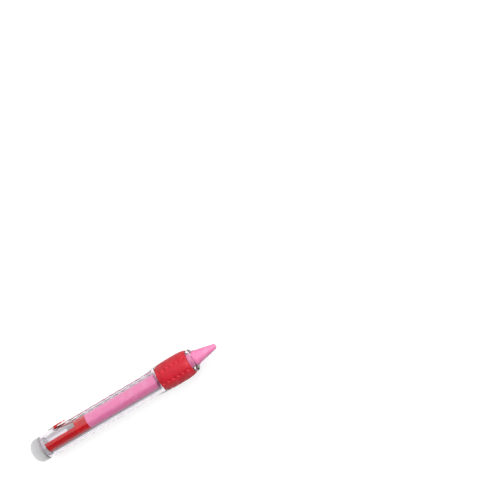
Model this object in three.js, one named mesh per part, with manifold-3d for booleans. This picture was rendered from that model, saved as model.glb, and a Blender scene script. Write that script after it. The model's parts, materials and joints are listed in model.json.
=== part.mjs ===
// A retractable bath crayon: a clear barrel with a notched slot, a soft grip, and a slider that
// carries the coloured stick and is pushed along by a thumb plate.
//
// Millimetres, +Z up. X runs along the barrel from the middle of its flat rear face to the tip.
// +Y is the side with the slot and the thumb plate, so the crayon lies on its side.

import * as THREE from 'three';
import { mergeVertices } from 'three/addons/utils/BufferGeometryUtils.js';
import Module from 'manifold-3d';

const wasm = await Module();
wasm.setup();

// Lengths along the barrel
const totalLength = 150;
const stickExposed = 18.4;
const noseStraight = 1.2;
const noseRoundLength = 1.9;
const gripLength = 25.9;
const flangeThickness = 2;

// Fits
const fitGap = 0.3;
const boreClearance = 0.9;
const guideGap = 0.3;

// Coloured stick
const stickRadius = 5.75;
const coneBaseStep = 0.45;
const coneLength = 16.1;
const tipRadius = 1.7;
const tipRound = 1;

// Carriage: a collar with a cup, and a trough-shaped leg. Its axis stands nearer the slot than
// the middle of the bore by the offset.
const carriageOffset = 0.5;
const collarStep = 0.25;
const collarLength = 9.5;
const collarChamfer = 0.35;
const cupWall = 1.1;
const cupFloor = 2.1;
const legLength = 25.9;
const troughRadius = 6.8;
const troughWall = 1.3;
const troughEdge = 1.9;

// Thumb finger
const armLength = 15;
const armThickness = 1;
const armRootWidth = 3.4;
const armNeckWidth = 2.4;
const armAngle = THREE.MathUtils.degToRad(8);
const knuckleStep = 0.15;
const knuckleInset = 0.1;
const neckLength = 2.4;
const neckFromRear = 0.4;
const nubLength = 2.4;
const plateLength = 9.8;
const plateWidth = 5.8;
const plateNoseWidth = 3.6;
const plateTaper = 2.4;
const plateThickness = 0.9;
const plateClearance = 0.5;
const plateBevel = 0.2;
const plateCorner = 2.1;

// Barrel
const barrelWall = 1.6;
const seatWall = 0.9;
const noseLip = 0.5;
const noseRimLand = 0.55;
const edgeChamfer = 0.3;
const flangeProud = 0.1;

// Slot
const toothDepth = 1;
const toothPitch = 7.3;
const toothLength = 3.4;
const toothSlope = 0.5;
const slotRearMargin = 0.8;
const slotFrontMargin = 0.5;

// End plug
const plugCapThickness = 1.4;
const plugSkirtLength = 2.6;
const plugSkirtWall = 1.2;

// Grip
const gripEndWall = 0.7;
const gripBulge = 1.1;
const gripRound = 0.4;
const dimpleRows = 7;
const dimplesPerRow = 6;
const dimpleMargin = 2.7;
const dimpleDiameter = 2.5;
const dimpleDepth = 0.5;
const dimpleTurn = THREE.MathUtils.degToRad(12.6);

// Fineness of the round forms
const roundSegments = 60;
const gripSegments = 48;
const gripRings = 12;
const dimpleSegments = 10;
const curveSteps = 6;
const cutMargin = 1;

// Stations and radii that follow from the sizes above
const noseFront = totalLength - stickExposed;
const noseRoundRear = noseFront - noseRoundLength;
const noseRear = noseRoundRear - noseStraight;
const gripFront = noseRear - fitGap;
const gripRear = gripFront - gripLength;
const flangeFront = gripRear - fitGap;
const flangeRear = flangeFront - flangeThickness;
const tubeRear = plugCapThickness + fitGap;
const legRear = plugCapThickness + plugSkirtLength + fitGap;
const collarRear = legRear + legLength;
const collarFront = collarRear + collarLength;
const cupRear = collarRear + cupFloor;
const tailRear = cupRear + fitGap;
const shaftRear = collarFront + fitGap;
const coneRear = totalLength - coneLength;

const collarRadius = stickRadius + collarStep;
const cupRadius = collarRadius - cupWall;
const tailRadius = cupRadius - fitGap;
const boreRadius = collarRadius + carriageOffset + boreClearance;
const runningRadius = boreRadius - guideGap;
const barrelRadius = boreRadius + barrelWall;
const seatRadius = boreRadius + seatWall;
const gripBoreRadius = seatRadius + fitGap;
const gripEndRadius = gripBoreRadius + gripEndWall;
const flangeRadius = gripEndRadius + flangeProud;
const guideRadius = stickRadius + guideGap;
const noseRadius = seatRadius + noseLip;
const noseRimRadius = guideRadius + carriageOffset + noseRimLand;
const troughCentre = carriageOffset - collarRadius + troughRadius;

const knuckleRadius = armThickness / 2 + knuckleStep;
const hingeX = collarRear - fitGap - knuckleRadius;
const hingeY = carriageOffset + collarRadius - knuckleRadius - knuckleInset;
const plateRear = hingeX - armLength;
const plateFront = plateRear + plateLength;
const plateBottom = barrelRadius + plateClearance;
const plateShoulder = plateFront - plateTaper;
const neckRear = plateRear + neckFromRear;
const slotRear = plateRear - slotRearMargin;
const slotFront = flangeRear - slotFrontMargin;
const teethGap = armNeckWidth + 4 * fitGap;
const slotHalf = teethGap / 2 + toothDepth;

// The carriage runs forward until the thumb plate meets the flange, and the guide starts there
const travel = flangeRear - fitGap - plateFront;
const guideRear = collarFront + travel + fitGap;

const clearPlastic = { color: 0xe9e6f0, roughness: 0.08, metalness: 0, transparent: true, opacity: 0.35 };
const redPlastic = { color: 0xd22622, roughness: 0.32, metalness: 0 };
const redRubber = { color: 0xc81e34, roughness: 0.55, metalness: 0 };
const pinkWax = { color: 0xee8cb7, roughness: 0.5, metalness: 0 };

// A solid of the boolean library from a closed geometry
function solidOf(geometry) {
  const bare = geometry.clone();
  bare.deleteAttribute('normal');
  bare.deleteAttribute('uv');
  const merged = mergeVertices(bare, 1e-4);
  const index = merged.index.array;
  const kept = [];
  for (let i = 0; i < index.length; i += 3) {
    const [a, b, c] = [index[i], index[i + 1], index[i + 2]];
    if (a !== b && b !== c && c !== a) kept.push(a, b, c);
  }
  return new wasm.Manifold(new wasm.Mesh({
    numProp: 3,
    vertProperties: new Float32Array(merged.attributes.position.array),
    triVerts: new Uint32Array(kept),
  }));
}

// A geometry from a solid of the boolean library
function geometryOf(solid) {
  const mesh = solid.getMesh();
  const geometry = new THREE.BufferGeometry();
  geometry.setAttribute('position', new THREE.BufferAttribute(new Float32Array(mesh.vertProperties), 3));
  geometry.setIndex(new THREE.BufferAttribute(new Uint32Array(mesh.triVerts), 1));
  geometry.computeVertexNormals();
  return geometry;
}

// A form turned about the X axis. The profile is [x, radius] pairs: forwards on the outside,
// then back on the inside.
function turned(profile, segments = roundSegments) {
  const points = profile.map(([x, radius]) => new THREE.Vector2(radius, x));
  return new THREE.LatheGeometry(points, segments).rotateZ(-Math.PI / 2);
}

function closed(profile) {
  return [...profile, profile[0]];
}

// An outline in X and Y, drawn out to a width across Z
function acrossZ(points, width) {
  const shape = new THREE.Shape(points.map(([x, y]) => new THREE.Vector2(x, y)));
  const settings = { depth: width, bevelEnabled: false };
  return new THREE.ExtrudeGeometry(shape, settings).translate(0, 0, -width / 2);
}

// An outline in X and Z, drawn upwards along Y from a height
function alongY(shape, bottom, height, bevel = 0) {
  const settings = {
    depth: height - 2 * bevel,
    bevelEnabled: bevel > 0,
    bevelThickness: bevel,
    bevelSize: bevel,
    bevelOffset: -bevel,
    bevelSegments: 2,
    curveSegments: curveSteps,
  };
  return new THREE.ExtrudeGeometry(shape, settings).rotateX(-Math.PI / 2).translate(0, bottom + bevel, 0);
}

// A cylinder along X about the line y = height
function rod(rear, front, radius, height = 0) {
  const length = front - rear;
  const geometry = new THREE.CylinderGeometry(radius, radius, length, roundSegments);
  return geometry.rotateZ(-Math.PI / 2).translate(rear + length / 2, height, 0);
}

// Points of a quarter ellipse that falls from [x, high] to [x + run, low]
function roundedFall(x, run, high, low) {
  const points = [];
  for (let i = 0; i <= curveSteps; i += 1) {
    const angle = (i / curveSteps) * Math.PI / 2;
    points.push([x + run * Math.sin(angle), low + (high - low) * Math.cos(angle)]);
  }
  return points;
}

// An outline in X and Z from one of its two like edges, rear to front
function mirroredShape(edge) {
  const otherEdge = edge.map(([x, z]) => [x, -z]).reverse();
  return new THREE.Shape([...edge, ...otherEdge].map(([x, z]) => new THREE.Vector2(x, z)));
}

// The slot's outline: teeth stand in from both edges, in pairs
function slotShape() {
  const toothHalf = teethGap / 2;
  const edge = [[slotRear, slotHalf]];
  for (let x = slotRear + toothPitch - toothLength; x + toothLength < slotFront; x += toothPitch) {
    edge.push([x, slotHalf]);
    edge.push([x + toothSlope, toothHalf]);
    edge.push([x + toothLength - toothSlope, toothHalf]);
    edge.push([x + toothLength, slotHalf]);
  }
  edge.push([slotFront, slotHalf]);
  return mirroredShape(edge);
}

function barrelGeometry() {
  const noseRound = roundedFall(noseRoundRear, noseRoundLength, noseRadius, noseRimRadius);
  const profile = [
    [tubeRear, barrelRadius - edgeChamfer],
    [tubeRear + edgeChamfer, barrelRadius],
    [flangeRear, barrelRadius],
    [flangeRear, flangeRadius - edgeChamfer],
    [flangeRear + edgeChamfer, flangeRadius],
    [flangeFront - edgeChamfer, flangeRadius],
    [flangeFront, flangeRadius - edgeChamfer],
    [flangeFront, seatRadius],
    [noseRear, seatRadius],
    [noseRear, noseRadius],
    ...noseRound,
    [noseFront, 0],
    [guideRear, 0],
    [guideRear, boreRadius],
    [tubeRear, boreRadius],
  ];
  const tube = solidOf(turned(closed(profile)));
  const guideHole = rod(guideRear - cutMargin, noseFront + cutMargin, guideRadius, carriageOffset);
  const guide = solidOf(guideHole);
  const slot = solidOf(alongY(slotShape(), 0, barrelRadius + cutMargin));
  return geometryOf(tube.subtract(guide).subtract(slot));
}

function endPlugGeometry() {
  const skirtFront = plugCapThickness + plugSkirtLength;
  const skirtRadius = boreRadius - fitGap;
  const profile = [
    [0, 0],
    [0, barrelRadius - edgeChamfer],
    [edgeChamfer, barrelRadius],
    [plugCapThickness - edgeChamfer, barrelRadius],
    [plugCapThickness, barrelRadius - edgeChamfer],
    [plugCapThickness, skirtRadius],
    [skirtFront - edgeChamfer, skirtRadius],
    [skirtFront, skirtRadius - edgeChamfer],
    [skirtFront, skirtRadius - plugSkirtWall],
    [plugCapThickness, skirtRadius - plugSkirtWall],
    [plugCapThickness, 0],
  ];
  return turned(profile);
}

// Outer radius of the grip: a barrel form, fullest in the middle
function gripRadiusAt(x) {
  const share = (x - gripRear) / gripLength;
  return gripEndRadius + gripBulge * (1 - Math.abs(2 * share - 1) ** 3);
}

function gripGeometry() {
  const outside = [[gripRear, gripEndRadius - gripRound]];
  const run = gripLength - 2 * gripRound;
  for (let i = 0; i <= gripRings; i += 1) {
    const x = gripRear + gripRound + (i / gripRings) * run;
    outside.push([x, gripRadiusAt(x)]);
  }
  outside.push([gripFront, gripEndRadius - gripRound]);
  const inside = [[gripFront, gripBoreRadius], [gripRear, gripBoreRadius]];
  let sleeve = solidOf(turned(closed([...outside, ...inside]), gripSegments));

  const halfWidth = dimpleDiameter / 2;
  const ballRadius = (halfWidth ** 2 + dimpleDepth ** 2) / (2 * dimpleDepth);
  const ball = new THREE.SphereGeometry(ballRadius, dimpleSegments, dimpleSegments);
  const pitch = (gripLength - 2 * dimpleMargin) / (dimplesPerRow - 1);
  for (let row = 0; row < dimpleRows; row += 1) {
    const turn = dimpleTurn + (row / dimpleRows) * 2 * Math.PI;
    for (let place = 0; place < dimplesPerRow; place += 1) {
      const x = gripRear + dimpleMargin + place * pitch;
      const radius = gripRadiusAt(x) - dimpleDepth + ballRadius;
      const dimple = ball.clone().translate(x, radius * Math.cos(turn), radius * Math.sin(turn));
      sleeve = sleeve.subtract(solidOf(dimple));
    }
  }
  return geometryOf(sleeve);
}

// The leg's section in Z and Y: a round trough, open towards the slot
function troughShape() {
  const outer = troughRadius;
  const inner = troughRadius - troughWall;
  const outerStart = Math.asin((troughEdge - troughCentre) / outer);
  const innerStart = Math.asin((troughEdge - troughCentre) / inner);
  const shape = new THREE.Shape();
  shape.absarc(0, troughCentre, outer, outerStart, -Math.PI - outerStart, true);
  shape.absarc(0, troughCentre, inner, -Math.PI - innerStart, innerStart, false);
  shape.closePath();
  return shape;
}

function carriageGeometry() {
  const collarProfile = [
    [collarRear, 0],
    [collarRear, collarRadius],
    [collarFront - collarChamfer, collarRadius],
    [collarFront, collarRadius - collarChamfer],
    [collarFront, cupRadius],
    [cupRear, cupRadius],
    [cupRear, 0],
  ];
  const collar = solidOf(turned(collarProfile).translate(0, carriageOffset, 0));
  const depth = collarRear + cupFloor / 2 - legRear;
  const settings = { depth, bevelEnabled: false, curveSegments: 4 * curveSteps };
  const trough = new THREE.ExtrudeGeometry(troughShape(), settings);
  const leg = solidOf(trough.rotateY(Math.PI / 2).translate(legRear, 0, 0));
  const runningSpace = solidOf(rod(legRear - cutMargin, collarFront + cutMargin, runningRadius));
  return geometryOf(collar.add(leg).intersect(runningSpace));
}

// The thumb plate from above: round at the back, drawn in towards the front
function plateShape() {
  const half = plateWidth / 2;
  const noseHalf = plateNoseWidth / 2;
  const corner = Math.min(plateCorner, half - plateBevel);
  const middle = (plateShoulder + plateFront) / 2;
  const tip = noseHalf / 2;
  const shape = new THREE.Shape();
  shape.moveTo(plateRear + corner, -half);
  shape.lineTo(plateShoulder, -half);
  shape.quadraticCurveTo(middle, -half, plateFront - tip, -noseHalf);
  shape.quadraticCurveTo(plateFront, -noseHalf, plateFront, -noseHalf + tip);
  shape.lineTo(plateFront, noseHalf - tip);
  shape.quadraticCurveTo(plateFront, noseHalf, plateFront - tip, noseHalf);
  shape.quadraticCurveTo(middle, half, plateShoulder, half);
  shape.lineTo(plateRear + corner, half);
  shape.quadraticCurveTo(plateRear, half, plateRear, half - corner);
  shape.lineTo(plateRear, corner - half);
  shape.quadraticCurveTo(plateRear, -half, plateRear + corner, -half);
  return shape;
}

// The arm from above where it stands in the slot: narrow, with a click nub on each side
function slotArmShape() {
  const half = armNeckWidth / 2;
  const nubHalf = half + fitGap;
  const nubFront = neckRear + nubLength;
  return mirroredShape([
    [plateRear, half],
    [neckRear, half],
    [neckRear + fitGap, nubHalf],
    [nubFront - fitGap, nubHalf],
    [nubFront, half],
    [hingeX + knuckleRadius, half],
  ]);
}

// The arm's root from above: it widens from under the plate's shoulder
function rootArmShape() {
  return mirroredShape([
    [plateShoulder, armNeckWidth / 2],
    [plateFront, armRootWidth / 2],
    [hingeX + knuckleRadius, armRootWidth / 2],
  ]);
}

function thumbFingerGeometry() {
  const half = armThickness / 2;
  const armHeightAt = (x) => hingeY + (hingeX - x) * Math.tan(armAngle);
  const side = [
    [plateRear, armHeightAt(plateRear) - half],
    [hingeX, hingeY - half],
    [hingeX, hingeY + half],
    [plateRear, armHeightAt(plateRear) + half],
  ];
  const root = new THREE.CylinderGeometry(knuckleRadius, knuckleRadius, armRootWidth, 4 * curveSteps);
  const knuckle = solidOf(root.rotateX(Math.PI / 2).translate(hingeX, hingeY, 0));
  const bar = solidOf(acrossZ(side, armRootWidth)).add(knuckle);
  const slotArm = bar.intersect(solidOf(alongY(slotArmShape(), 0, barrelRadius)));
  const boreSpace = solidOf(rod(plateRear, hingeX + knuckleRadius + cutMargin, runningRadius));
  const rootArm = bar.intersect(solidOf(alongY(rootArmShape(), 0, barrelRadius))).intersect(boreSpace);

  const neckFront = neckRear + neckLength;
  const neckTop = plateBottom + plateThickness / 2;
  const neckSide = [
    [neckRear, armHeightAt(neckRear)],
    [neckFront, armHeightAt(neckFront)],
    [neckFront, neckTop],
    [neckRear, neckTop],
  ];
  const neck = solidOf(acrossZ(neckSide, armNeckWidth));
  const plate = solidOf(alongY(plateShape(), plateBottom, plateThickness, plateBevel));
  return geometryOf(slotArm.add(rootArm).add(neck).add(plate));
}

function crayonStickGeometry() {
  const tipRear = totalLength - tipRound;
  const profile = [
    [tailRear, 0],
    [tailRear, tailRadius - edgeChamfer],
    [tailRear + edgeChamfer, tailRadius],
    [shaftRear, tailRadius],
    [shaftRear, stickRadius - edgeChamfer],
    [shaftRear + edgeChamfer, stickRadius],
    [coneRear - edgeChamfer, stickRadius],
    [coneRear, stickRadius - coneBaseStep],
    ...roundedFall(tipRear, tipRound, tipRadius, 0),
  ];
  return turned(profile).translate(0, carriageOffset, 0);
}

const parts = [
  ['barrel', barrelGeometry(), clearPlastic],
  ['end_plug', endPlugGeometry(), clearPlastic],
  ['grip', gripGeometry(), redRubber],
  ['carriage', carriageGeometry(), redPlastic],
  ['thumb_finger', thumbFingerGeometry(), redPlastic],
  ['crayon_stick', crayonStickGeometry(), pinkWax],
];

const crayon = new THREE.Group();
for (const [name, geometry, finish] of parts) {
  const mesh = new THREE.Mesh(geometry, new THREE.MeshStandardMaterial(finish));
  mesh.name = name;
  crayon.add(mesh);
}

export default crayon;
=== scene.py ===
"""A retractable bath crayon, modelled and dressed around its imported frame.

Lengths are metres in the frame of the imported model. X runs along the barrel from the middle of
its flat rear face to the tip of the stick, and +Y is the side of the slot and the thumb plate.
"""

import json
from math import asin, atan2, cos, pi, radians, sin, tan

import bmesh
import bpy
from bpy.props import FloatProperty, FloatVectorProperty, IntProperty, PointerProperty
from bpy.types import Operator, Panel, PropertyGroup
from mathutils import Matrix, Vector


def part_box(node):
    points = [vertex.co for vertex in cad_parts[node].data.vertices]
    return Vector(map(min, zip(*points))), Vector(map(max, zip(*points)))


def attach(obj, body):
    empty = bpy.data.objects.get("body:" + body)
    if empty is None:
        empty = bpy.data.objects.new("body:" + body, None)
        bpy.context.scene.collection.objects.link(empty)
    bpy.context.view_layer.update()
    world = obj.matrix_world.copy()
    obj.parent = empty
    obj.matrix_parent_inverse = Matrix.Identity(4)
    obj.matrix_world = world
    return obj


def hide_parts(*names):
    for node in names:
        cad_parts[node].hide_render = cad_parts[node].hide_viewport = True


bl_info = {
    "name": "Bath Crayon",
    "version": (1, 0, 0),
    "blender": (4, 5, 0),
    "location": "View3D > Sidebar > Crayon",
    "description": "Models a retractable bath crayon around its packed frame",
    "category": "Add Mesh",
}

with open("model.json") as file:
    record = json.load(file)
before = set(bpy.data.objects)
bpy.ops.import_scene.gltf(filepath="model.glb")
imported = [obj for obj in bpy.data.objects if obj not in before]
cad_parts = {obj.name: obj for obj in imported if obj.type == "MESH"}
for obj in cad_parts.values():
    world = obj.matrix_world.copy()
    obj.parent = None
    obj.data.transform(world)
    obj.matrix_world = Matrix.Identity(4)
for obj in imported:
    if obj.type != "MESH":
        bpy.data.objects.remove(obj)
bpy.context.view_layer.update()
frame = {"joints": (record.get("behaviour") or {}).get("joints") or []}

MM = 0.001
MERGE_DISTANCE = 0.002 * MM
PICK_DISTANCE = 0.01 * MM
CUT_MARGIN = 1 * MM
SHARP_ANGLE = radians(40)
BULGE_POWER = 3
SCRATCH_STRETCH = 22
NODE_SPACING = 180

# Steps in a rounded corner, a rounded edge, the nose, the leg's trough and the finger's root
ROUND_STEPS = 4
EDGE_STEPS = 3
NOSE_STEPS = 12
TROUGH_STEPS = 40
KNUCKLE_STEPS = 20

# Colour sockets of a Mix node, which have the same names as its other sockets
MIX_A, MIX_B, MIX_RESULT = 6, 7, 2

# Where the middle of the rear face and the tip of the stick lie in the picture
IMAGE_SIZE = 500
REAR_PIXEL = (43.9, 448.1)
TIP_PIXEL = (215.8, 345.6)

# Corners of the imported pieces, from which lengths and places follow
barrel_low, barrel_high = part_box("barrel")
plug_low, plug_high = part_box("end_plug")
grip_low, grip_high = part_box("grip")
carriage_low, carriage_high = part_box("carriage")
finger_low, finger_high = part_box("thumb_finger")
stick_low, stick_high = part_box("crayon_stick")

hinge = Vector(next(joint for joint in frame["joints"] if joint["name"] == "thumb_press")["pos_m"])

# The stick's axis stands nearer the slot than the barrel's axis by this much
stick_offset = (stick_low.y + stick_high.y) / 2


# Properties


def length(name, description, millimetres):
    return FloatProperty(
        name=name,
        description=description,
        default=millimetres * MM,
        min=0.0,
        precision=5,
        subtype="DISTANCE",
        unit="LENGTH",
    )


def share(name, description, default):
    return FloatProperty(
        name=name, description=description, default=default, min=0.0, max=1.0, subtype="FACTOR"
    )


def angle(name, description, degrees):
    return FloatProperty(
        name=name,
        description=description,
        default=radians(degrees),
        subtype="ANGLE",
        unit="ROTATION",
    )


def direction(name, description, x, y, z):
    return FloatVectorProperty(
        name=name, description=description, default=(x, y, z), subtype="DIRECTION"
    )


def count(name, description, default):
    return IntProperty(name=name, description=description, default=default, min=1)


def linear(value):
    """One channel of a screen colour, from 0 to 255, as light."""
    part = value / 255
    return part / 12.92 if part <= 0.04045 else ((part + 0.055) / 1.055) ** 2.4


def colour(name, description, red, green, blue):
    return FloatVectorProperty(
        name=name,
        description=description,
        default=(linear(red), linear(green), linear(blue)),
        min=0.0,
        max=1.0,
        subtype="COLOR",
    )


class BarrelSizes(PropertyGroup):
    """Sizes of the clear barrel"""

    radius: length("Radius", "Outer radius of the tube", 9.0)
    bore: length("Bore", "Inner radius of the tube", 7.4)
    seat: length("Seat", "Outer radius under the soft grip", 8.3)
    flange_thickness: length("Flange", "Thickness of the flange behind the grip", 2.0)
    nose: length("Nose", "Outer radius of the nose", 8.8)
    nose_rim: length("Nose rim", "Radius where the nose's round ends at the front", 7.1)
    nose_round: length("Nose round", "Length of the nose's round", 1.9)
    guide: length("Guide", "Radius of the hole that guides the stick", 6.05)
    guide_length: length("Guide length", "Length of the hole that guides the stick", 15.95)
    fit_gap: length("Fit gap", "Gap between the barrel and the packed grip", 0.3)
    edge: length("Edge", "Rounding of the moulded edges", 0.3)
    fine_edge: length("Fine edge", "Rounding of the slot's edges", 0.12)
    slot_rear: length("Slot rear", "From the rear end of the finger to the slot's rear end", 0.8)
    slot_front: length("Slot front", "From the slot's front end to the flange", 0.5)
    slot_corner: length("Slot corner", "Rounding of the slot's corners", 0.5)
    slot_half: length("Slot half width", "Half the slot's width between the notches", 2.8)
    tooth_depth: length("Tooth depth", "How far a tooth stands into the slot", 1.0)
    tooth_pitch: length("Tooth pitch", "Distance from tooth to tooth", 7.3)
    tooth_length: length("Tooth length", "Length of a tooth at its root", 3.4)
    tooth_slope: length("Tooth slope", "Length of a tooth's sloping side", 0.5)
    segments: count("Segments", "Faces round the tube", 70)


class PlugSizes(PropertyGroup):
    """Sizes of the clear plug that closes the rear end"""

    cap: length("Cap", "Thickness of the cap", 1.4)
    skirt: length("Skirt", "Outer radius of the part inside the bore", 7.35)
    skirt_wall: length("Skirt wall", "Wall of the part inside the bore", 1.2)
    joint_gap: length("Joint gap", "Gap between the cap and the tube", 0.05)
    edge: length("Edge", "Rounding of the rear edge", 0.45)
    fine_edge: length("Fine edge", "Rounding of the other edges", 0.15)
    segments: count("Segments", "Faces round the plug", 96)


class GripSizes(PropertyGroup):
    """Sizes of the soft grip"""

    bore: length("Bore", "Inner radius, tight on the barrel", 8.33)
    end_radius: length("End radius", "Outer radius at the ends", 9.3)
    end_round: length("End round", "Rounding of the ends", 0.4)
    lip: length("Lip", "From an end to the middle of its groove", 1.3)
    groove_width: length("Groove width", "Width of the groove behind an end", 0.8)
    groove_depth: length("Groove depth", "Depth of the groove behind an end", 0.12)
    rows: count("Rows", "Rows of dimples round the grip", 7)
    dimples: count("Dimples", "Dimples in a row", 6)
    first_row: angle("First row", "Turn of the first row from the slot", 12.6)
    dimple_margin: length("Dimple margin", "From an end of the grip to its first dimple", 2.7)
    dimple_radius: length("Dimple radius", "Radius of a dimple", 1.15)
    dimple_depth: length("Dimple depth", "Depth of a dimple", 0.75)
    steps_per_row: count("Steps per row", "Faces round the grip for each row", 40)
    rings_per_dimple: count("Rings per dimple", "Rings of faces from dimple to dimple", 20)
    end_rings: count("End rings", "Rings of faces left to the round of an end", 3)
    fine_edge: length("Fine edge", "Rounding of the bore's edges", 0.1)


class CarriageSizes(PropertyGroup):
    """Sizes of the carriage that holds the stick"""

    collar: length("Collar", "Outer radius of the collar", 6.0)
    collar_length: length("Collar length", "Length of the collar", 9.5)
    cup_wall: length("Cup wall", "Wall round the stick's tail", 1.1)
    cup_floor: length("Cup floor", "Floor behind the stick's tail", 2.1)
    trough_wall: length("Leg wall", "Wall of the trough-shaped leg", 1.3)
    trough_edge: length("Leg edge", "Height of the leg's edges above the barrel's axis", 1.9)
    edge: length("Edge", "Rounding of the collar's edges", 0.35)
    fine_edge: length("Fine edge", "Rounding of the other edges", 0.15)
    segments: count("Segments", "Faces round the collar", 96)


class FingerSizes(PropertyGroup):
    """Sizes of the springy thumb finger"""

    arm_thickness: length("Arm thickness", "Thickness of the springy arm", 1.0)
    arm_slope: angle("Arm slope", "Angle of the arm to the barrel", 8.0)
    root_width: length("Root width", "Width of the arm at its root", 3.4)
    neck_width: length("Neck width", "Width of the arm in the slot", 2.4)
    neck_length: length("Neck length", "Length of the neck under the plate", 2.4)
    neck_inset: length("Neck inset", "From the plate's rear end to the neck", 0.4)
    nub_length: length("Nub length", "Length of the click nubs", 2.4)
    nub_depth: length("Nub depth", "How far a click nub stands out", 0.3)
    knuckle: length("Knuckle", "Radius of the arm's root", 0.65)
    plate_length: length("Plate length", "Length of the thumb plate", 9.8)
    plate_nose: length("Plate nose", "Width of the plate's front end", 3.6)
    plate_taper: length("Plate taper", "Length over which the plate narrows", 2.4)
    plate_thickness: length("Plate thickness", "Thickness of the thumb plate", 0.9)
    plate_corner: length("Plate corner", "Rounding of the plate's rear corners", 2.1)
    edge: length("Edge", "Rounding of the edges", 0.15)


class StickSizes(PropertyGroup):
    """Sizes of the coloured stick"""

    tail: length("Tail", "Radius of the tail in the carriage's cup", 4.85)
    seat_gap: length("Seat gap", "Gap between the collar and the shaft", 0.05)
    cone_length: length("Cone length", "Length of the blunt point", 16.1)
    cone_step: length("Cone step", "Step between the shaft and the point", 0.45)
    tip: length("Tip", "Radius of the blunt tip", 1.7)
    tip_round: length("Tip round", "Rounding of the blunt tip", 1.0)
    edge: length("Edge", "Rounding of the shaft's edges", 0.25)
    segments: count("Segments", "Faces round the stick", 96)


class Finishes(PropertyGroup):
    """Colours and gloss of the materials"""

    clear_tint: colour("Clear plastic", "Tint of the clear plastic", 250, 249, 252)
    clear_shadow: colour("Clear shadow", "Light that passes the clear plastic", 253, 252, 253)
    edge_shadow: colour("Edge shadow", "Light that passes a face edge on", 158, 154, 160)
    shadow_from: share("Shadow from", "How far edge on a face is where its shadow begins", 0.36)
    shadow_to: share("Shadow to", "How far edge on a face is where its shadow is full", 0.50)
    inner_shade: colour("Inner shade", "What is left of a reflection in a wall", 232, 226, 230)
    clear_roughness: share("Clear roughness", "Roughness of the clear plastic", 0.005)
    clear_wear: share("Clear wear", "Roughness that marks add to the clear plastic", 0.03)
    frosted_shadow: colour("Frosted shadow", "Light that passes the end plug", 176, 174, 178)
    frosted_roughness: share("Frosted roughness", "Roughness of the end plug", 0.3)
    frosted_clearness: share("Frosted clearness", "How much of the end plug is see-through", 0.65)
    red: colour("Red plastic", "Colour of the carriage and thumb finger", 220, 20, 28)
    red_deep: colour("Deep red plastic", "Darker tone of the red plastic", 206, 16, 24)
    red_roughness: share("Red roughness", "Roughness of the red plastic", 0.28)
    red_wear: share("Red wear", "Roughness that smudges add to the red plastic", 0.12)
    grip: colour("Grip", "Colour of the soft grip", 216, 22, 48)
    grip_deep: colour("Deep grip", "Darker tone of the soft grip", 204, 16, 40)
    grip_roughness: share("Grip roughness", "Roughness of the soft grip", 0.48)
    grip_wear: share("Grip wear", "Roughness that smudges add to the soft grip", 0.15)
    wax: colour("Wax", "Colour of the stick", 249, 130, 183)
    wax_pale: colour("Pale wax", "Bloom on the stick", 253, 164, 206)
    wax_roughness: share("Wax roughness", "Roughness of the stick", 0.46)
    wax_wear: share("Wax wear", "Roughness that bloom adds to the stick", 0.15)
    wax_bloom: share("Wax bloom", "How strongly the bloom shows", 0.55)
    floor: colour("Floor", "Colour of the floor", 252, 252, 252)
    floor_bounce: colour("Floor bounce", "Light that the floor throws back", 90, 90, 90)


class StageSettings(PropertyGroup):
    """Camera, floor and light"""

    tilt: angle("Tilt", "Angle between the crayon and the line to the camera", 75.5)
    distance: length("Distance", "From the crayon's middle to the camera", 985.0)
    lens: FloatProperty(
        name="Lens",
        description="Focal length in millimetres",
        default=95.88,
        subtype="DISTANCE_CAMERA",
    )
    floor_size: length("Floor", "Side of the floor", 6000.0)
    key_light: share("Key light", "Share of the light on the floor from the key lamp", 0.62)
    fill_light: share("Fill light", "Share of the light on the floor from the fill lamp", 0.34)
    room_light: share("Room light", "Share of the light on the floor from all round", 0.06)
    dark_spot: share("Dark spot", "Brightness of the room behind the camera, in gloss", 0.02)
    dark_spot_towards: direction("Dark spot direction", "Where the room is dark", -0.2, 0.05, 0.98)
    dark_spot_edge: angle("Dark spot edge", "Angle from its middle to the white walls", 64.0)
    dark_spot_core: angle("Dark spot core", "Angle from its middle to where it is darkest", 40.0)
    floor_glow: share("Floor glow", "Light that the floor adds where it is looked at", 0.18)
    key_softness: angle("Key softness", "Angle that the key lamp spans", 2.5)
    fill_softness: angle("Fill softness", "Angle that the fill lamp spans", 95.0)
    key_towards: direction("Key direction", "Where the key lamp stands", 0.60, 0.0, 0.80)
    fill_towards: direction("Fill direction", "Where the fill lamp stands", 0.0, 0.62, 0.785)


class CrayonSettings(PropertyGroup):
    """All the settings of the crayon"""

    barrel: PointerProperty(type=BarrelSizes)
    plug: PointerProperty(type=PlugSizes)
    grip: PointerProperty(type=GripSizes)
    carriage: PointerProperty(type=CarriageSizes)
    finger: PointerProperty(type=FingerSizes)
    stick: PointerProperty(type=StickSizes)
    finish: PointerProperty(type=Finishes)
    stage: PointerProperty(type=StageSettings)


# Modelling steps


def select_where(piece, is_wanted):
    """Select the vertices that is_wanted accepts, by their place, and nothing else."""
    bpy.ops.mesh.select_all(action="DESELECT")
    mesh = bmesh.from_edit_mesh(piece.data)
    for vertex in mesh.verts:
        vertex.select = is_wanted(vertex.co)
    mesh.select_flush_mode()
    bmesh.update_edit_mesh(piece.data)


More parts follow.
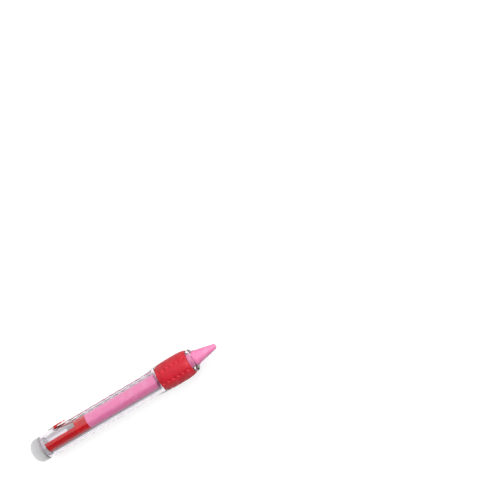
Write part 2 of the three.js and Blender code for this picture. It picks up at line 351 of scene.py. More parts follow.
def draw_outline(name, corners, place, closed):
    """Draw an outline as a new object in edit mode. A corner is (along, across, rounding)."""
    places = [place(along, across) for along, across, _ in corners]
    bpy.ops.object.select_all(action="DESELECT")
    bpy.ops.mesh.primitive_plane_add(size=MM, location=places[0])
    piece = bpy.context.object
    piece.name = piece.data.name = name
    bpy.ops.object.transform_apply(location=True, rotation=True, scale=True)
    bpy.ops.object.mode_set(mode="EDIT")
    bpy.ops.mesh.merge(type="CENTER")
    route = places + places[:1] if closed else places
    for here, there in zip(route, route[1:]):
        bpy.ops.mesh.extrude_region_move(TRANSFORM_OT_translate={"value": there - here})
    bpy.ops.mesh.select_all(action="SELECT")
    bpy.ops.mesh.remove_doubles(threshold=MERGE_DISTANCE)
    for rounding in sorted({corner[2] for corner in corners if corner[2]}):
        alike = [spot for spot, corner in zip(places, corners) if corner[2] == rounding]
        select_where(piece, lambda co: any((co - spot).length < PICK_DISTANCE for spot in alike))
        bpy.ops.mesh.bevel(offset=rounding, segments=ROUND_STEPS, affect="VERTICES")
    bpy.ops.mesh.select_all(action="SELECT")
    return piece


def face_outwards():
    """Turn every face outwards, and leave edit mode."""
    bpy.ops.mesh.select_all(action="SELECT")
    bpy.ops.mesh.normals_make_consistent(inside=False)
    bpy.ops.object.mode_set(mode="OBJECT")


def turned(name, corners, segments, height=0.0, start=0.0, closed=False):
    """A form spun from an outline of radii about the line along X at this height."""

    def beside_axis(x, radius):
        return Vector((x, height + radius * cos(start), radius * sin(start)))

    form = draw_outline(name, corners, beside_axis, closed)
    bpy.ops.mesh.spin(steps=segments, angle=2 * pi, center=(0, height, 0), axis=(1, 0, 0))
    bpy.ops.mesh.select_all(action="SELECT")
    bpy.ops.mesh.remove_doubles(threshold=MERGE_DISTANCE)
    face_outwards()
    return form


def drawn_out(name, corners, place, stroke):
    """A form with the same section from end to end of a straight stroke."""
    form = draw_outline(name, corners, place, closed=True)
    bpy.ops.mesh.edge_face_add()
    bpy.ops.mesh.extrude_region_move(TRANSFORM_OT_translate={"value": stroke})
    face_outwards()
    return form


def drawn_up(name, edge, bottom, top):
    """A form with the same outline all the way up, given by one of its two like edges."""
    corners = edge + [(x, -z, rounding) for x, z, rounding in reversed(edge)]
    return drawn_out(name, corners, lambda x, z: Vector((x, bottom, z)), (0, top - bottom, 0))


def arc(across, up, radius, start, sweep, steps):
    """Corners along an arc about the point (across, up)."""
    turns = [start + step / steps * sweep for step in range(steps + 1)]
    return [(across + radius * cos(turn), up + radius * sin(turn), 0) for turn in turns]


def make_active(piece):
    bpy.ops.object.select_all(action="DESELECT")
    piece.select_set(True)
    bpy.context.view_layer.objects.active = piece


def apply_modifier(piece, kind, **settings):
    """Give the piece a modifier with these settings, and apply it."""
    make_active(piece)
    modifier = piece.modifiers.new("step", kind)
    for name, value in settings.items():
        setattr(modifier, name, value)
    bpy.ops.object.modifier_apply(modifier=modifier.name)


def combine(piece, other, operation):
    """Join another object to the piece, cut it away or keep what both share, and delete it."""
    apply_modifier(piece, "BOOLEAN", operation=operation, solver="EXACT", object=other)
    bpy.data.objects.remove(other)


def round_sharp_edges(piece, width):
    """Round every edge that is still sharp."""
    sharp = {"limit_method": "ANGLE", "angle_limit": SHARP_ANGLE}
    apply_modifier(piece, "BEVEL", width=width, segments=EDGE_STEPS, **sharp)


def shade(piece):
    """Shade the piece smooth between its rounded edges."""
    make_active(piece)
    bpy.ops.object.shade_smooth_by_angle(angle=SHARP_ANGLE)
    apply_modifier(piece, "WEIGHTED_NORMAL", keep_sharp=True)


def check_closed(piece):
    """Stop if the piece isn't one closed surface with its faces outwards."""
    mesh = bmesh.new()
    mesh.from_mesh(piece.data)
    open_edges = sum(not edge.is_manifold for edge in mesh.edges)
    volume = mesh.calc_volume(signed=True)
    mesh.free()
    if open_edges or volume <= 0:
        raise RuntimeError(f"{piece.name} has {open_edges} open edges and a volume of {volume}")


def hand_over(piece, make_material, body, node):
    """Give the piece its material and its place in the frame."""
    check_closed(piece)
    shade(piece)
    piece.data.materials.clear()
    piece.data.materials.append(finished(make_material))
    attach(piece, body)
    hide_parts(node)


# Node groups that several materials share


def add_node(tree, kind, label, inputs=None, **settings):
    """Add a node. Its inputs are plain values, or sockets that are linked to them."""
    node = tree.nodes.new(kind)
    node.label = label
    node.location = (NODE_SPACING * len(tree.nodes), 0)
    for name, value in settings.items():
        setattr(node, name, value)
    for name, value in (inputs or {}).items():
        if isinstance(value, bpy.types.NodeSocket):
            tree.links.new(value, node.inputs[name])
        else:
            node.inputs[name].default_value = value
    return node


def new_group(name, inputs, outputs):
    """A shader node group with a vector input, these number inputs and number outputs."""
    group = bpy.data.node_groups.new(name, "ShaderNodeTree")
    group.interface.new_socket("Vector", in_out="INPUT", socket_type="NodeSocketVector")
    for label, default in inputs.items():
        socket = group.interface.new_socket(label, in_out="INPUT", socket_type="NodeSocketFloat")
        socket.default_value = default
    for label in outputs:
        group.interface.new_socket(label, in_out="OUTPUT", socket_type="NodeSocketFloat")
    return group


def calculated(tree, label, operation, *values, clamp=False):
    """The socket of a result. The values are numbers or sockets."""
    settings = {"operation": operation, "use_clamp": clamp}
    node = add_node(tree, "ShaderNodeMath", label, dict(enumerate(values)), **settings)
    return node.outputs["Value"]


def vector_result(tree, label, operation, first, second):
    """The outputs of a sum on two vectors."""
    inputs = {0: first, 1: second}
    return add_node(tree, "ShaderNodeVectorMath", label, inputs, operation=operation).outputs


def noise(tree, label, vector, scale, detail, distortion=0.0):
    """The socket of a cloudy noise."""
    inputs = {"Vector": vector, "Scale": scale, "Detail": detail, "Distortion": distortion}
    return add_node(tree, "ShaderNodeTexNoise", label, inputs).outputs["Fac"]


def soft_step(tree, label, value, start, end, low=0.0, high=1.0):
    """The socket of a number that goes softly from low to high between start and end."""
    inputs = {"Value": value, "From Min": start, "From Max": end, "To Min": low, "To Max": high}
    node = add_node(tree, "ShaderNodeMapRange", label, inputs, interpolation_type="SMOOTHSTEP")
    return node.outputs["Result"]


def make_moulded_surface():
    """Soft ripples under a fine grain, as a height, and a slow change of tone."""
    group = new_group(
        "moulded_surface",
        {"Ripple Scale": 150.0, "Grain Scale": 3000.0, "Grain Share": 0.2},
        ("Height", "Tone"),
    )
    entry = group.nodes.new("NodeGroupInput").outputs
    ripples = noise(group, "ripples", entry["Vector"], entry["Ripple Scale"], 1.0)
    grain = noise(group, "grain", entry["Vector"], entry["Grain Scale"], 3.0)
    height = calculated(group, "height", "MULTIPLY_ADD", grain, entry["Grain Share"], ripples)
    tone = soft_step(group, "tone", ripples, 0.35, 0.65)
    add_node(group, "NodeGroupOutput", "out", {"Height": height, "Tone": tone})
    return group


def make_handling_marks():
    """Masks of the marks of use: fine scratches along the crayon, and soft smudges."""
    group = new_group(
        "handling_marks",
        {"Scratch Scale": 60.0, "Smudge Scale": 90.0},
        ("Scratches", "Smudges"),
    )
    entry = group.nodes.new("NodeGroupInput").outputs
    along = vector_result(
        group, "drawn out", "MULTIPLY", entry["Vector"], (1, SCRATCH_STRETCH, SCRATCH_STRETCH)
    )
    lines = noise(group, "lines", along["Vector"], entry["Scratch Scale"], 2.0, 0.4)
    clouds = noise(group, "clouds", entry["Vector"], entry["Smudge Scale"], 3.0, 0.8)
    masks = {
        "Scratches": soft_step(group, "scratches", lines, 0.64, 0.74),
        "Smudges": soft_step(group, "smudges", clouds, 0.45, 0.7),
    }
    add_node(group, "NodeGroupOutput", "out", masks)
    return group


def place_group(tree, name, make, vector, values):
    """Place a shared node group, made on first use, in a material with values of its own."""
    group = bpy.data.node_groups.get(name) or make()
    node = add_node(tree, "ShaderNodeGroup", name, node_tree=group)
    tree.links.new(vector, node.inputs["Vector"])
    for label, value in values.items():
        node.inputs[label].default_value = value
    return node.outputs


def moulded_and_marked(tree, place, ripples, grain, grain_share, scratches, smudges):
    """Place both shared node groups in a material, and return the outputs of each."""
    moulding = {"Ripple Scale": ripples, "Grain Scale": grain, "Grain Share": grain_share}
    marks = {"Scratch Scale": scratches, "Smudge Scale": smudges}
    return (
        place_group(tree, "moulded_surface", make_moulded_surface, place, moulding),
        place_group(tree, "handling_marks", make_handling_marks, place, marks),
    )


# Materials


def new_material(name):
    """An empty node material, its output node and its object coordinates."""
    material = bpy.data.materials.new(name)
    material.use_nodes = True
    tree = material.node_tree
    tree.nodes.clear()
    output = add_node(tree, "ShaderNodeOutputMaterial", "out")
    coordinates = add_node(tree, "ShaderNodeTexCoord", "place on the piece")
    return material, tree, output, coordinates.outputs["Object"]


def solid_colour(value):
    return (*value, 1.0)


def blended(tree, label, factor, low, high):
    """The socket of a colour that goes from low to high with the factor."""
    inputs = {0: factor, MIX_A: solid_colour(low), MIX_B: solid_colour(high)}
    return add_node(tree, "ShaderNodeMix", label, inputs, data_type="RGBA").outputs[MIX_RESULT]


def spread(tree, label, value, low, high):
    """The socket of a number that goes from low to high as the value goes from 0 to 1."""
    inputs = {"Value": value, "To Min": low, "To Max": high}
    return add_node(tree, "ShaderNodeMapRange", label, inputs).outputs["Result"]


def bumped(tree, height, strength, distance):
    """The socket of a normal that follows the height."""
    inputs = {"Strength": strength, "Distance": distance, "Height": height}
    return add_node(tree, "ShaderNodeBump", "bump", inputs).outputs["Normal"]


def open_pane(tree, label, tint):
    """The socket of a shader that lets rays straight through and tints them."""
    return add_node(tree, "ShaderNodeBsdfTransparent", label, {"Color": tint}).outputs["BSDF"]


def clear_plastic_called(name, finish, roughness, clearness, shadow):
    """Clear moulded plastic. Light shines through it, less so where a face stands edge on."""
    material, tree, output, place = new_material(name)
    moulded, marks = moulded_and_marked(
        tree, place, ripples=220.0, grain=2500.0, grain_share=0.02, scratches=70.0, smudges=110.0
    )
    worn = calculated(tree, "all marks", "MAXIMUM", marks["Scratches"], marks["Smudges"])
    rough_where_worn = spread(tree, "roughness", worn, roughness, roughness + finish.clear_wear)
    plastic = add_node(
        tree,
        "ShaderNodeBsdfPrincipled",
        "clear plastic",
        {
            "Base Color": solid_colour(finish.clear_tint),
            "Roughness": rough_where_worn,
            "IOR": 1.5,
            "Transmission Weight": clearness,
            "Normal": bumped(tree, moulded["Height"], 0.15, 0.01 * MM),
        },
    )
    facing = add_node(tree, "ShaderNodeLayerWeight", "edge on", {"Blend": 0.5}).outputs["Facing"]
    edge_on = soft_step(tree, "only near the edge", facing, finish.shadow_from, finish.shadow_to)
    passed = blended(tree, "light that passes", edge_on, shadow, finish.edge_shadow)
    see_through = open_pane(tree, "for light that passes", passed)
    shaded = open_pane(tree, "for rays from a reflection", solid_colour(finish.inner_shade))
    path = add_node(tree, "ShaderNodeLightPath", "kind of ray").outputs
    surface = plastic.outputs["BSDF"]
    for label, kind, pane in (
        ("clear to lamps", "Is Shadow Ray", see_through),
        ("clear after a reflection", "Is Reflection Ray", shaded),
        ("clear to scattered light", "Is Diffuse Ray", see_through),
    ):
        inputs = {0: path[kind], 1: surface, 2: pane}
        surface = add_node(tree, "ShaderNodeMixShader", label, inputs).outputs["Shader"]
    tree.links.new(surface, output.inputs["Surface"])
    return material


def water_clear_plastic(finish):
    """The barrel's water-clear plastic."""
    name = "water_clear_plastic"
    return clear_plastic_called(name, finish, finish.clear_roughness, 1.0, finish.clear_shadow)


def frosted_plastic(finish):
    """The end plug's clear plastic, faintly frosted."""
    return clear_plastic_called(
        "frosted_plastic",
        finish,
        finish.frosted_roughness,
        finish.frosted_clearness,
        finish.frosted_shadow,
    )


def coat_with(material, output, label, inputs):
    """Give the material one shader with these inputs."""
    shader = add_node(material.node_tree, "ShaderNodeBsdfPrincipled", label, inputs)
    material.node_tree.links.new(shader.outputs["BSDF"], output.inputs["Surface"])
    return material


def satin_red_plastic(finish):
    """Bright red moulded plastic with a satin gloss."""
    material, tree, output, place = new_material("satin_red_plastic")
    moulded, marks = moulded_and_marked(
        tree, place, ripples=260.0, grain=4200.0, grain_share=0.35, scratches=90.0, smudges=160.0
    )
    rough = finish.red_roughness
    inputs = {
        "Base Color": blended(tree, "tone", moulded["Tone"], finish.red_deep, finish.red),
        "Roughness": spread(tree, "roughness", marks["Smudges"], rough, rough + finish.red_wear),
        "Subsurface Weight": 0.12,
        "Subsurface Radius": (0.6 * MM, 0.12 * MM, 0.1 * MM),
        "Subsurface Scale": 1.0,
        "Normal": bumped(tree, moulded["Height"], 0.35, 0.03 * MM),
    }
    return coat_with(material, output, "red plastic", inputs)


def soft_grip(finish):
    """Satin soft plastic with a fine matt grain."""
    material, tree, output, place = new_material("soft_grip")
    moulded, marks = moulded_and_marked(
        tree, place, ripples=300.0, grain=2600.0, grain_share=0.7, scratches=50.0, smudges=140.0
    )
    rough = finish.grip_roughness
    inputs = {
        "Base Color": blended(tree, "tone", moulded["Tone"], finish.grip_deep, finish.grip),
        "Roughness": spread(tree, "roughness", marks["Smudges"], rough, rough + finish.grip_wear),
        "Subsurface Weight": 0.05,
        "Subsurface Radius": (0.8 * MM, 0.1 * MM, 0.1 * MM),
        "Subsurface Scale": 1.0,
        "Sheen Weight": 0.08,
        "Sheen Roughness": 0.5,
        "Normal": bumped(tree, moulded["Height"], 0.5, 0.05 * MM),
    }
    return coat_with(material, output, "soft plastic", inputs)


def crayon_wax(finish):
    """Coloured wax, faintly mottled and streaked along its length."""
    material, tree, output, place = new_material("crayon_wax")
    moulded, marks = moulded_and_marked(
        tree, place, ripples=420.0, grain=1600.0, grain_share=0.6, scratches=45.0, smudges=260.0
    )
    bloom = calculated(tree, "bloom", "MAXIMUM", marks["Smudges"], marks["Scratches"])
    mottle = calculated(tree, "mottle", "MULTIPLY", bloom, finish.wax_bloom)
    rough = finish.wax_roughness
    inputs = {
        "Base Color": blended(tree, "colour", mottle, finish.wax, finish.wax_pale),
        "Roughness": spread(tree, "roughness", bloom, rough, rough + finish.wax_wear),
        "Specular IOR Level": 0.9,
        "Subsurface Weight": 0.12,
        "Subsurface Radius": (1.2 * MM, 0.5 * MM, 0.6 * MM),
        "Subsurface Scale": 1.0,
        "Normal": bumped(tree, moulded["Height"], 0.4, 0.05 * MM),
    }
    return coat_with(material, output, "wax", inputs)


def looked_at(tree):
    """1 where the camera looks, also in gloss and through clear plastic, and otherwise 0."""
    path = add_node(tree, "ShaderNodeLightPath", "kind of ray").outputs
    direct = calculated(tree, "or in gloss", "ADD", path["Is Camera Ray"], path["Is Glossy Ray"])
    through = path["Is Transmission Ray"]
    either = calculated(tree, "or through plastic", "ADD", direct, through, clamp=True)
    fresh = calculated(tree, "not yet scattered", "LESS_THAN", path["Diffuse Depth"], 0.5)
    return calculated(tree, "seen", "MULTIPLY", either, fresh)


def floor_paint(settings):
    """A floor that looks white, keeps shadows and throws little light back."""
    material, tree, output, _ = new_material("floor")
    finish = settings.finish
    seen = looked_at(tree)
    tone = blended(tree, "darker for bounces", seen, finish.floor_bounce, finish.floor)
    strength = spread(tree, "only where looked at", seen, 0.0, settings.stage.floor_glow)
    paint = add_node(tree, "ShaderNodeBsdfDiffuse", "paint", {"Color": tone})
    glow = add_node(tree, "ShaderNodeEmission", "glow", {"Strength": strength})
    inputs = {0: paint.outputs["BSDF"], 1: glow.outputs["Emission"]}
    both = add_node(tree, "ShaderNodeAddShader", "both", inputs)
    tree.links.new(both.outputs["Shader"], output.inputs["Surface"])
    return material


def finished(make):
    """The material that this function makes, made on first use and named like it."""
    return bpy.data.materials.get(make.__name__) or make(bpy.context.scene.crayon.finish)


# Operators


class CRAYON_OT_add_barrel(Operator):
    """Model the clear barrel: a tube with a notched slot, a flange, a seat and a nose"""

    bl_idname = "crayon.add_barrel"
    bl_label = "Clear barrel"
    bl_options = {"UNDO"}

    def tube(self, sizes, flange_rear, guide_rear):
        rear, front = barrel_low.x, barrel_high.x
        flange_front = flange_rear + sizes.flange_thickness
        nose_rear = grip_high.x + sizes.fit_gap
        outline = [
            (guide_rear, 0.0, 0),
            (guide_rear, sizes.bore, sizes.edge),
            (rear, sizes.bore, 0),
            (rear, sizes.radius, 0),
            (flange_rear, sizes.radius, 0),
            (flange_rear, barrel_high.z, sizes.edge),
            (flange_front, barrel_high.z, sizes.edge),
            (flange_front, sizes.seat, 0),
            (nose_rear, sizes.seat, 0),
            (nose_rear, sizes.nose, 0),
        ]
        for step in range(NOSE_STEPS + 1):
            turn = step / NOSE_STEPS * pi / 2
            fall = (sizes.nose - sizes.nose_rim) * (1 - cos(turn))
            outline.append((front - sizes.nose_round * (1 - sin(turn)), sizes.nose - fall, 0))
        outline.append((front, 0.0, 0))
        return turned("clear_barrel", outline, sizes.segments)

    def guide_cutter(self, sizes, guide_rear):
        rear, front = guide_rear - CUT_MARGIN, barrel_high.x + CUT_MARGIN
        radius = sizes.guide
        outline = [(rear, 0.0, 0), (rear, radius, 0), (front, radius, 0), (front, 0.0, 0)]
        return turned("guide_cutter", outline, sizes.segments, stick_offset)

    def slot_cutter(self, sizes, flange_rear):
        rear = finger_low.x - sizes.slot_rear
        front = flange_rear - sizes.slot_front
        half, inner = sizes.slot_half, sizes.slot_half - sizes.tooth_depth
        edge = [(rear, half, sizes.slot_corner)]
        start = rear + sizes.tooth_pitch - sizes.tooth_length
        while start + sizes.tooth_length < front:
            end = start + sizes.tooth_length
            edge += [(start, half, 0), (start + sizes.tooth_slope, inner, 0)]
            edge += [(end - sizes.tooth_slope, inner, 0), (end, half, 0)]
            start += sizes.tooth_pitch
        edge.append((front, half, sizes.slot_corner))
        middle = sizes.bore / 2
        return drawn_up("slot_cutter", edge, middle, middle + sizes.radius)

    def execute(self, context):
        sizes = context.scene.crayon.barrel
        flange_rear = grip_low.x - sizes.fit_gap - sizes.flange_thickness
        guide_rear = barrel_high.x - sizes.guide_length
        piece = self.tube(sizes, flange_rear, guide_rear)
        combine(piece, self.guide_cutter(sizes, guide_rear), "DIFFERENCE")
        combine(piece, self.slot_cutter(sizes, flange_rear), "DIFFERENCE")
        round_sharp_edges(piece, sizes.fine_edge)
        hand_over(piece, water_clear_plastic, "barrel", "barrel")
        return {"FINISHED"}


class CRAYON_OT_add_end_plug(Operator):
    """Model the clear plug that closes the rear end of the barrel"""

    bl_idname = "crayon.add_end_plug"
    bl_label = "End plug"
    bl_options = {"UNDO"}

    def execute(self, context):
        sizes = context.scene.crayon.plug
        cap_front = barrel_low.x - sizes.joint_gap
        skirt_inside = sizes.skirt - sizes.skirt_wall
        outline = [
            (plug_low.x, 0.0, 0),
            (plug_low.x, plug_high.z, sizes.edge),
            (cap_front, plug_high.z, sizes.fine_edge),
            (cap_front, sizes.skirt, 0),
            (plug_high.x, sizes.skirt, sizes.edge),
            (plug_high.x, skirt_inside, sizes.edge),
            (sizes.cap, skirt_inside, sizes.edge),
            (sizes.cap, 0.0, 0),
        ]
        piece = turned("end_cap", outline, sizes.segments)
        round_sharp_edges(piece, sizes.fine_edge)
        hand_over(piece, frosted_plastic, "barrel", "end_plug")
        return {"FINISHED"}


class CRAYON_OT_add_grip(Operator):
    """Model the soft grip: a bulging sleeve with rows of dimples"""

    bl_idname = "crayon.add_grip"
    bl_label = "Soft grip"
    bl_options = {"UNDO"}

    def radius_at(self, sizes, x):
        """Outer radius: fullest in the middle, with a shallow groove behind a lip at each end."""
        share_along = (x - grip_low.x) / (grip_high.x - grip_low.x)
        bulge = (grip_high.z - sizes.end_radius) * (1 - abs(2 * share_along - 1) ** BULGE_POWER)
        from_end = min(x - grip_low.x, grip_high.x - x)
        off_groove = (from_end - sizes.lip) / sizes.groove_width
        groove = sizes.groove_depth * max(0.0, 1 - 4 * off_groove**2)
        return sizes.end_radius + bulge - groove

    def press_dimple(self, piece, sizes, centre, outwards):
        mesh = bmesh.from_edit_mesh(piece.data)
        nearest = min(mesh.verts, key=lambda vertex: (vertex.co - centre).length_squared)
        bpy.ops.mesh.select_all(action="DESELECT")
        nearest.select = True
        mesh.select_flush_mode()
        bmesh.update_edit_mesh(piece.data)
        bpy.ops.transform.translate(
            value=-sizes.dimple_depth * outwards,
            use_proportional_edit=True,
            proportional_edit_falloff="SPHERE",
            proportional_size=sizes.dimple_radius,
        )

    def execute(self, context):
        sizes = context.scene.crayon.grip
        rear, front = grip_low.x, grip_high.x
        pitch = (front - rear - 2 * sizes.dimple_margin) / (sizes.dimples - 1)
        step = pitch / sizes.rings_per_dimple
        first = rear + sizes.dimple_margin % step + step * sizes.end_rings
        outline = [(rear, sizes.bore, 0), (rear, sizes.end_radius, sizes.end_round)]
        x = first
        while x < front - (first - rear) + step / 2:
            outline.append((x, self.radius_at(sizes, x), 0))
            x += step
        outline += [(front, sizes.end_radius, sizes.end_round), (front, sizes.bore, 0)]
        segments = sizes.rows * sizes.steps_per_row
        piece = turned("soft_grip", outline, segments, start=sizes.first_row, closed=True)
        make_active(piece)
        bpy.ops.object.mode_set(mode="EDIT")
        for row in range(sizes.rows):
            turn = sizes.first_row + row / sizes.rows * 2 * pi
            outwards = Vector((0, cos(turn), sin(turn)))
            for place in range(sizes.dimples):
                x = rear + sizes.dimple_margin + place * pitch
                centre = Vector((x, 0, 0)) + self.radius_at(sizes, x) * outwards
                self.press_dimple(piece, sizes, centre, outwards)
        bpy.ops.object.mode_set(mode="OBJECT")
        round_sharp_edges(piece, sizes.fine_edge)
        hand_over(piece, soft_grip, "barrel", "grip")
        return {"FINISHED"}


class CRAYON_OT_add_carriage(Operator):
    """Model the carriage: a collar with a cup for the stick, and a trough-shaped leg"""

    bl_idname = "crayon.add_carriage"
    bl_label = "Carriage"
    bl_options = {"UNDO"}

    def collar(self, sizes):
        rear, front = carriage_high.x - sizes.collar_length, carriage_high.x
        cup = sizes.collar - sizes.cup_wall
        outline = [
            (rear, 0.0, 0),
            (rear, sizes.collar, sizes.edge),
            (front, sizes.collar, sizes.edge),
            (front, cup, 0),
            (rear + sizes.cup_floor, cup, 0),
            (rear + sizes.cup_floor, 0.0, 0),
        ]
        return turned("carriage_slider", outline, sizes.segments, stick_offset)

    def leg(self, sizes):
        rear = carriage_low.x
        front = carriage_high.x - sizes.collar_length + sizes.cup_floor / 2
        outer = carriage_high.z
        inner = outer - sizes.trough_wall
        centre = carriage_low.y + outer
        outer_start = asin((sizes.trough_edge - centre) / outer)
        inner_start = asin((sizes.trough_edge - centre) / inner)
        outer_sweep, inner_sweep = pi + 2 * outer_start, pi + 2 * inner_start
        corners = arc(0, centre, outer, outer_start, -outer_sweep, TROUGH_STEPS)
        corners += arc(0, centre, inner, -pi - inner_start, inner_sweep, TROUGH_STEPS)
        stroke = (front - rear, 0, 0)
        return drawn_out("leg", corners, lambda z, y: Vector((rear, y, z)), stroke)

    def execute(self, context):
        sizes = context.scene.crayon.carriage
        piece = self.collar(sizes)
        combine(piece, self.leg(sizes), "UNION")
        round_sharp_edges(piece, sizes.fine_edge)
        hand_over(piece, satin_red_plastic, "carriage", "carriage")
        return {"FINISHED"}


class CRAYON_OT_add_thumb_finger(Operator):
    """Model the thumb finger: a springy arm with click nubs, a neck and the thumb plate"""

    bl_idname = "crayon.add_thumb_finger"
    bl_label = "Thumb finger"
    bl_options = {"UNDO"}

    def height_at(self, sizes, x):
        return hinge.y + (hinge.x - x) * tan(sizes.arm_slope)

    def drawn_across(self, name, corners, width):
        """A side outline, drawn out to a width about the middle plane."""
        return drawn_out(name, corners, lambda x, y: Vector((x, y, -width / 2)), (0, 0, width))

    def arm(self, sizes, neck_rear):
        rear = finger_low.x
        half = sizes.arm_thickness / 2
        height = self.height_at(sizes, rear)
        reach = asin(half / sizes.knuckle)
        sweep = 2 * (pi - reach)
        root = arc(hinge.x, hinge.y, sizes.knuckle, reach - pi, sweep, KNUCKLE_STEPS)
        side = [(rear, height - half, 0), *root, (rear, height + half, 0)]
        piece = self.drawn_across("thumb_lever", side, sizes.root_width)
        neck = sizes.neck_width / 2
        nub = neck + sizes.nub_depth
        nub_front = neck_rear + sizes.nub_length
        shoulder = finger_low.x + sizes.plate_length - sizes.plate_taper
        edge = [
            (rear - CUT_MARGIN, neck, 0),
            (neck_rear, neck, 0),
            (neck_rear + sizes.nub_depth, nub, 0),
            (nub_front - sizes.nub_depth, nub, 0),
            (nub_front, neck, 0),
            (shoulder, neck, 0),
            (finger_low.x + sizes.plate_length, sizes.root_width / 2, 0),
            (finger_high.x + CUT_MARGIN, sizes.root_width / 2, 0),
        ]
        combine(piece, drawn_up("arm_outline", edge, 0, finger_high.y), "INTERSECT")
        return piece

    def execute(self, context):
        sizes = context.scene.crayon.finger
        neck_rear = finger_low.x + sizes.neck_inset
        neck_front = neck_rear + sizes.neck_length
        plate_bottom = finger_high.y - sizes.plate_thickness
        piece = self.arm(sizes, neck_rear)
        neck = [
            (neck_rear, self.height_at(sizes, neck_rear), 0),
            (neck_front, self.height_at(sizes, neck_front), 0),
            (neck_front, plate_bottom + sizes.plate_thickness / 2, 0),
            (neck_rear, plate_bottom + sizes.plate_thickness / 2, 0),
        ]
        combine(piece, self.drawn_across("neck", neck, sizes.neck_width), "UNION")
        half, nose_half = finger_high.z, sizes.plate_nose / 2
        plate_front = finger_low.x + sizes.plate_length
        edge = [
            (finger_low.x, half, sizes.plate_corner),
            (plate_front - sizes.plate_taper, half, nose_half / 2),
            (plate_front, nose_half, nose_half / 2),
        ]
        combine(piece, drawn_up("plate", edge, plate_bottom, finger_high.y), "UNION")
        round_sharp_edges(piece, sizes.edge)
        hand_over(piece, satin_red_plastic, "thumb_finger", "thumb_finger")
        return {"FINISHED"}


class CRAYON_OT_add_stick(Operator):
    """Model the coloured stick with its blunt point"""

    bl_idname = "crayon.add_stick"
    bl_label = "Coloured stick"
    bl_options = {"UNDO"}

    def execute(self, context):
        sizes = context.scene.crayon.stick
        radius = stick_high.z
        rear, front = stick_low.x, stick_high.x
        shaft_rear = carriage_high.x + sizes.seat_gap
        cone_rear = front - sizes.cone_length
        outline = [
            (rear, 0.0, 0),
            (rear, sizes.tail, sizes.edge),
            (shaft_rear, sizes.tail, 0),
            (shaft_rear, radius, sizes.edge),
            (cone_rear - sizes.edge, radius, sizes.edge / 2),
            (cone_rear, radius - sizes.cone_step, sizes.edge / 2),
            (front, sizes.tip, sizes.tip_round),
            (front, 0.0, 0),
        ]
        piece = turned("coloured_stick", outline, sizes.segments, stick_offset)
        round_sharp_edges(piece, sizes.edge / 2)
        hand_over(piece, crayon_wax, "carriage", "crayon_stick")
        return {"FINISHED"}


def basis(first, second):
    """An upright set of axes from two directions."""
    third = first.cross(second).normalized()
    return Matrix((first.normalized(), third, first.cross(third).normalized())).transposed()


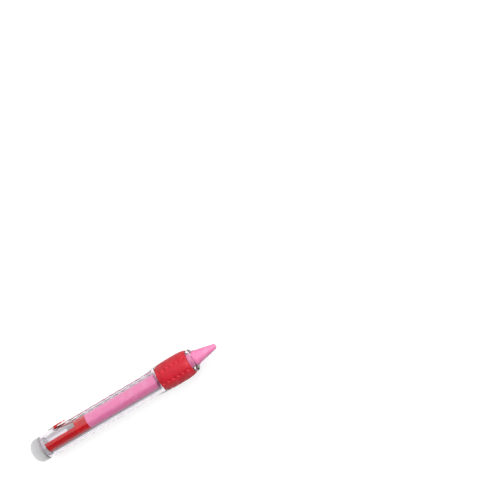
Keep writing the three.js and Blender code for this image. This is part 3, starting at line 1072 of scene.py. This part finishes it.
class CRAYON_OT_set_stage(Operator):
    """Set the camera, the floor, the lamps and the light of the room"""

    bl_idname = "crayon.set_stage"
    bl_label = "Stage"
    bl_options = {"UNDO"}

    def aim_camera(self, context, stage):
        """Place the camera so that the crayon's rear end and tip fall on their pixels."""
        bpy.ops.object.camera_add()
        camera = context.object
        camera.data.lens = stage.lens
        middle = Vector((stick_high.x / 2, 0, 0))
        eye = middle + stage.distance * Vector((cos(stage.tilt), 0, sin(stage.tilt)))
        focal_pixels = stage.lens / camera.data.sensor_width * IMAGE_SIZE
        half = IMAGE_SIZE / 2
        rays = [Vector((x - half, half - y, -focal_pixels)) for x, y in (REAR_PIXEL, TIP_PIXEL)]
        rear = Vector((0, 0, 0))
        tip = Vector((stick_high.x, stick_offset, 0))
        turn = basis(rear - eye, tip - eye) @ basis(*rays).transposed()
        camera.matrix_world = Matrix.Translation(eye) @ turn.to_4x4()
        context.scene.camera = camera

    def lay_floor(self, settings):
        """Lay the floor under the rear end and the grip's belly, on which the crayon rests."""
        belly = Vector(((grip_low.x + grip_high.x) / 2, 0, grip_low.z))
        heel = Vector((settings.plug.edge, 0, plug_low.z))
        slope = belly - heel
        tilt = (0, atan2(-slope.z, slope.x), 0)
        size = settings.stage.floor_size
        bpy.ops.object.select_all(action="DESELECT")
        bpy.ops.mesh.primitive_plane_add(size=size, location=heel, rotation=tilt)
        floor = bpy.context.object
        floor.name = "floor"
        bpy.ops.object.transform_apply(location=True, rotation=True, scale=True)
        floor.data.materials.append(floor_paint(settings))

    def hang_lamp(self, name, towards, light, softness):
        """A distant lamp that gives a level floor this share of its light."""
        towards = Vector(towards)
        bpy.ops.object.light_add(type="SUN")
        lamp = bpy.context.object
        lamp.name = name
        lamp.data.angle = softness
        lamp.data.energy = light * pi / towards.normalized().z
        lamp.rotation_euler = towards.to_track_quat("Z", "Y").to_euler()

    def light_room(self, context, stage):
        """Surround the stage with a room whose walls look white and whose light is soft."""
        world = bpy.data.worlds.new("room")
        world.use_nodes = True
        tree = world.node_tree
        tree.nodes.clear()
        around = add_node(tree, "ShaderNodeTexCoord", "direction").outputs["Generated"]
        towards = Vector(stage.dark_spot_towards).normalized()
        nearness = vector_result(tree, "nearness to dark spot", "DOT_PRODUCT", around, towards)
        walls = soft_step(
            tree,
            "white walls, dark behind the camera",
            nearness["Value"],
            cos(stage.dark_spot_edge),
            cos(stage.dark_spot_core),
            1.0,
            stage.dark_spot,
        )
        strength = spread(tree, "strength", looked_at(tree), stage.room_light, walls)
        inputs = {"Color": solid_colour((1, 1, 1)), "Strength": strength}
        room = add_node(tree, "ShaderNodeBackground", "room", inputs)
        add_node(tree, "ShaderNodeOutputWorld", "out", {"Surface": room.outputs["Background"]})
        context.scene.world = world

    def execute(self, context):
        settings = context.scene.crayon
        stage = settings.stage
        self.aim_camera(context, stage)
        self.lay_floor(settings)
        self.hang_lamp("key_lamp", stage.key_towards, stage.key_light, stage.key_softness)
        self.hang_lamp("fill_lamp", stage.fill_towards, stage.fill_light, stage.fill_softness)
        self.light_room(context, stage)
        context.scene.view_settings.view_transform = "Standard"
        return {"FINISHED"}


class CRAYON_PT_parts(Panel):
    """Lists the steps that make the crayon"""

    bl_idname = "CRAYON_PT_parts"
    bl_label = "Bath Crayon"
    bl_space_type = "VIEW_3D"
    bl_region_type = "UI"
    bl_category = "Crayon"

    def draw(self, context):
        for operator in OPERATORS:
            self.layout.operator(operator.bl_idname)


PROPERTY_GROUPS = (
    BarrelSizes,
    PlugSizes,
    GripSizes,
    CarriageSizes,
    FingerSizes,
    StickSizes,
    Finishes,
    StageSettings,
    CrayonSettings,
)
OPERATORS = (
    CRAYON_OT_add_barrel,
    CRAYON_OT_add_end_plug,
    CRAYON_OT_add_grip,
    CRAYON_OT_add_carriage,
    CRAYON_OT_add_thumb_finger,
    CRAYON_OT_add_stick,
    CRAYON_OT_set_stage,
)
CLASSES = (*PROPERTY_GROUPS, *OPERATORS, CRAYON_PT_parts)


def register():
    for each in CLASSES:
        bpy.utils.register_class(each)
    bpy.types.Scene.crayon = PointerProperty(type=CrayonSettings)


def unregister():
    del bpy.types.Scene.crayon
    for each in reversed(CLASSES):
        bpy.utils.unregister_class(each)


def main():
    register()
    bpy.ops.crayon.add_barrel()
    bpy.ops.crayon.add_end_plug()
    bpy.ops.crayon.add_grip()
    bpy.ops.crayon.add_carriage()
    bpy.ops.crayon.add_thumb_finger()
    bpy.ops.crayon.add_stick()
    bpy.ops.crayon.set_stage()


if __name__ == "__main__":
    main()
